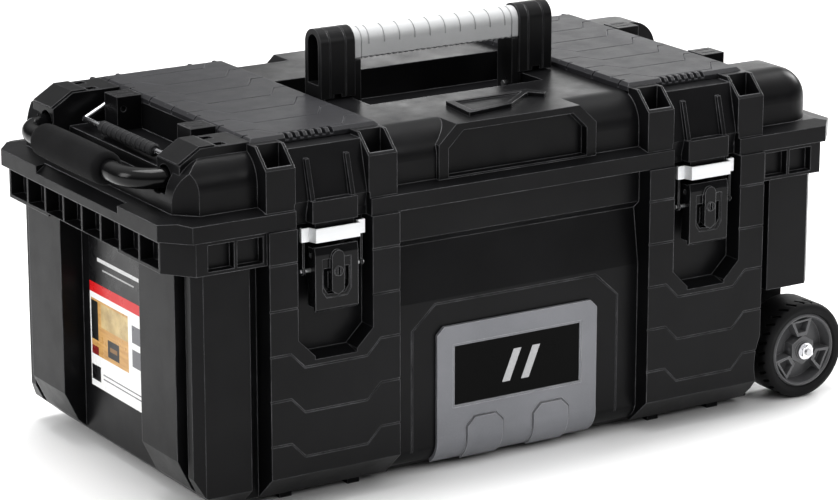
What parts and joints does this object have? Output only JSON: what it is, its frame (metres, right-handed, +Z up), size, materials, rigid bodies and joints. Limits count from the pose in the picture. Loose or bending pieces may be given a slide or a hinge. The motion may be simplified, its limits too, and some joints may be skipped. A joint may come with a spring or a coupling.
{
  "type": "rolling toolbox",
  "caption": "Black moulded carpenter toolbox on wheels with a hinged lid, over-centre latches, folding carry handle, pull-out tube handle and end bails.",
  "frame": {"origin": "at floor level under the middle of the whole object, lid closed, pull-out handle in", "axes": "+X along the length towards the wheels, -Y is the front with the latches, +Z up"},
  "size_m": [0.729, 0.36, 0.376],
  "materials": {
    "shell_black": "moulded polypropylene with a soft sheen",
    "panel_black": "textured moulded plastic",
    "trim_black": "moulded plastic",
    "handle_black": "moulded plastic",
    "plate_grey": "satin grey plastic",
    "grip_grey": "satin light grey plastic",
    "badge_dark": "dark insert with two plain bars",
    "label_print": "printed film with plain colour blocks",
    "lever_black": "gloss black plastic",
    "tube_black": "gloss black coated steel tube",
    "foam_black": "soft closed-cell foam",
    "bail_rubber": "ribbed grey rubber",
    "seal_rubber": "soft seal",
    "strap_silver": "bright brushed",
    "leaf_steel": "black coated steel",
    "axle_steel": "plain steel",
    "wire_steel": "zinc plated wire",
    "nut_chrome": "plated",
    "hub_grey": "moulded grey plastic",
    "tyre_black": "matte"
  },
  "bodies": {
    "tub": {"tub": "shell_black", "feet": "trim_black", "front_plate": "plate_grey", "badge_insert": "badge_dark", "end_label": "label_print", "axle": "axle_steel", "axle_nuts": "nut_chrome", "axle_washers": "nut_chrome", "hinge_pins": "axle_steel", "latch_pins": "axle_steel", "hinge_rivets_tub": "nut_chrome", "hinge_leaf_tub_left": "leaf_steel", "hinge_leaf_tub_right": "leaf_steel"},
    "lid": {"lid_shell": "shell_black", "lid_seal": "seal_rubber", "tube_bushes": "trim_black", "deck_clip": "trim_black", "carry_pins": "axle_steel", "hinge_rivets_lid": "nut_chrome", "corner_cap_front": "trim_black", "corner_cap_rear": "trim_black", "top_panel_left": "panel_black", "top_panel_right": "panel_black", "hinge_leaf_lid_left": "leaf_steel", "hinge_leaf_lid_right": "leaf_steel", "bail_block_left_front": "trim_black", "bail_block_left_rear": "trim_black", "bail_block_right_front": "trim_black", "bail_block_right_rear": "trim_black"},
    "carry_handle": {"carry_frame": "handle_black", "carry_grip": "grip_grey"},
    "pull_handle": {"pull_tube": "tube_black", "foam_grip": "foam_black", "tube_plugs": "trim_black"},
    "bail_left": {"bail_wire_left": "wire_steel", "bail_grip_left": "bail_rubber"},
    "bail_right": {"bail_wire_right": "wire_steel", "bail_grip_right": "bail_rubber"},
    "wheel_front": {"tyre_front": "tyre_black", "hub_front": "hub_grey"},
    "wheel_rear": {"tyre_rear": "tyre_black", "hub_rear": "hub_grey"},
    "latch_left": {"latch_lever_left": "lever_black", "latch_strap_pins_left": "axle_steel"},
    "strap_left": {"latch_strap_left": "strap_silver", "latch_links_left": "lever_black"},
    "latch_right": {"latch_lever_right": "lever_black", "latch_strap_pins_right": "axle_steel"},
    "strap_right": {"latch_strap_right": "strap_silver", "latch_links_right": "lever_black"}
  },
  "joints": [
    {"name": "lid_hinge", "type": "hinge", "parent": "tub", "child": "lid", "pos_m": [0, 0.1748, 0.2489], "axis": [-1, 0, 0], "range_deg": [0, 100]},
    {"name": "carry_handle_pivot", "type": "hinge", "parent": "lid", "child": "carry_handle", "pos_m": [0, -0.014, 0.302], "axis": [-1, 0, 0], "range_deg": [0, 90]},
    {"name": "pull_handle_slide", "type": "slide", "parent": "lid", "child": "pull_handle", "axis": [-1, 0, 0], "range_m": [0, 0.3]},
    {"name": "bail_left_pivot", "type": "hinge", "parent": "lid", "child": "bail_left", "pos_m": [-0.274, 0, 0.309], "axis": [0, 1, 0], "range_deg": [0, 120]},
    {"name": "bail_right_pivot", "type": "hinge", "parent": "lid", "child": "bail_right", "pos_m": [0.274, 0, 0.309], "axis": [0, -1, 0], "range_deg": [0, 120]},
    {"name": "wheel_front_spin", "type": "hinge", "parent": "tub", "child": "wheel_front", "pos_m": [0.3185, 0, 0.046], "axis": [0, 1, 0], "continuous": true},
    {"name": "wheel_rear_spin", "type": "hinge", "parent": "tub", "child": "wheel_rear", "pos_m": [0.3185, 0, 0.046], "axis": [0, 1, 0], "continuous": true},
    {"name": "latch_left_lever", "type": "hinge", "parent": "tub", "child": "latch_left", "pos_m": [-0.1944, -0.168, 0.221], "axis": [-1, 0, 0], "range_deg": [0, 100]},
    {"name": "latch_left_strap", "type": "hinge", "parent": "latch_left", "child": "strap_left", "pos_m": [-0.1944, -0.167, 0.208], "axis": [-1, 0, 0], "range_deg": [-120, 0]},
    {"name": "latch_right_lever", "type": "hinge", "parent": "tub", "child": "latch_right", "pos_m": [0.1944, -0.168, 0.221], "axis": [-1, 0, 0], "range_deg": [0, 100]},
    {"name": "latch_right_strap", "type": "hinge", "parent": "latch_right", "child": "strap_right", "pos_m": [0.1944, -0.167, 0.208], "axis": [-1, 0, 0], "range_deg": [-120, 0]}
  ],
  "couplings": [
    {"joint": "latch_left_strap", "follows": "latch_left_lever", "ratio": -1.2},
    {"joint": "latch_right_strap", "follows": "latch_right_lever", "ratio": -1.2}
  ]
}
